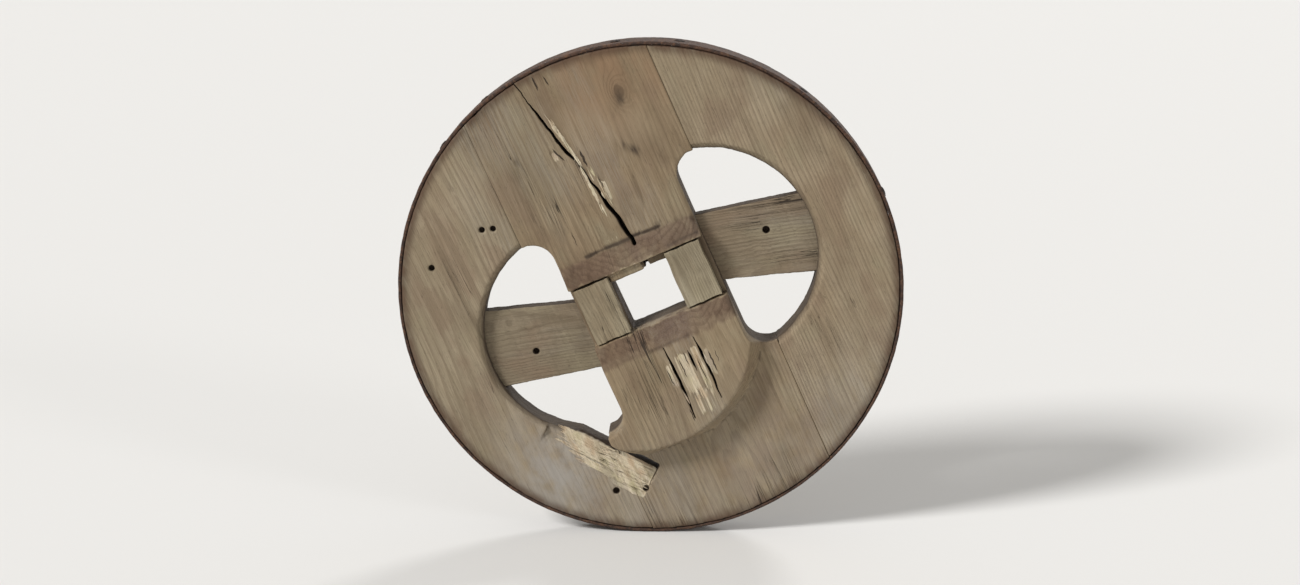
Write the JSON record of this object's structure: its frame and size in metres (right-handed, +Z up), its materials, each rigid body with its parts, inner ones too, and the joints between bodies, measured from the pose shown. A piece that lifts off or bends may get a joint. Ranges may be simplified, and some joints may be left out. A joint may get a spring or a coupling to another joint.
{
  "type": "wooden plank wheel",
  "caption": "Solid wooden wheel: centre plank with raised hub and square axle hole, curved felloes, crossbars over the open eyes, iron tyre.",
  "frame": {"origin": "centre of the square axle hole, in the plane of the wheel's back face", "axes": "+Y along the axle towards the back of the wheel, +Z up, +X to the right seen from the front; the centre plank's top leans 24 degrees to -X"},
  "size_m": [1.1006, 0.12, 1.0999],
  "materials": {
    "plank_wood": "weathered khaki-brown wood, split and worn, reddish brown on the hub's slopes",
    "felloe_wood": "weathered tan wood with grey-white patches and a dirty rim",
    "crossbar_wood": "dull olive-tan wood, dusty",
    "cheek_wood": "pale greenish end-grain blocks, rough",
    "dowel_wood": "dark unweathered wood",
    "tyre_iron": "dark rust, flaking and pitted",
    "nail_iron": "rusty, worn heads"
  },
  "bodies": {
    "root": {"centre_plank": "plank_wood", "left_felloe": "felloe_wood", "right_felloe": "felloe_wood", "left_crossbar": "crossbar_wood", "right_crossbar": "crossbar_wood", "left_cheek": "cheek_wood", "right_cheek": "cheek_wood", "upper_left_dowel": "dowel_wood", "lower_left_dowel": "dowel_wood", "upper_right_dowel": "dowel_wood", "lower_right_dowel": "dowel_wood", "iron_tyre": "tyre_iron", "tyre_nails": "nail_iron"}
  },
  "joints": []
}
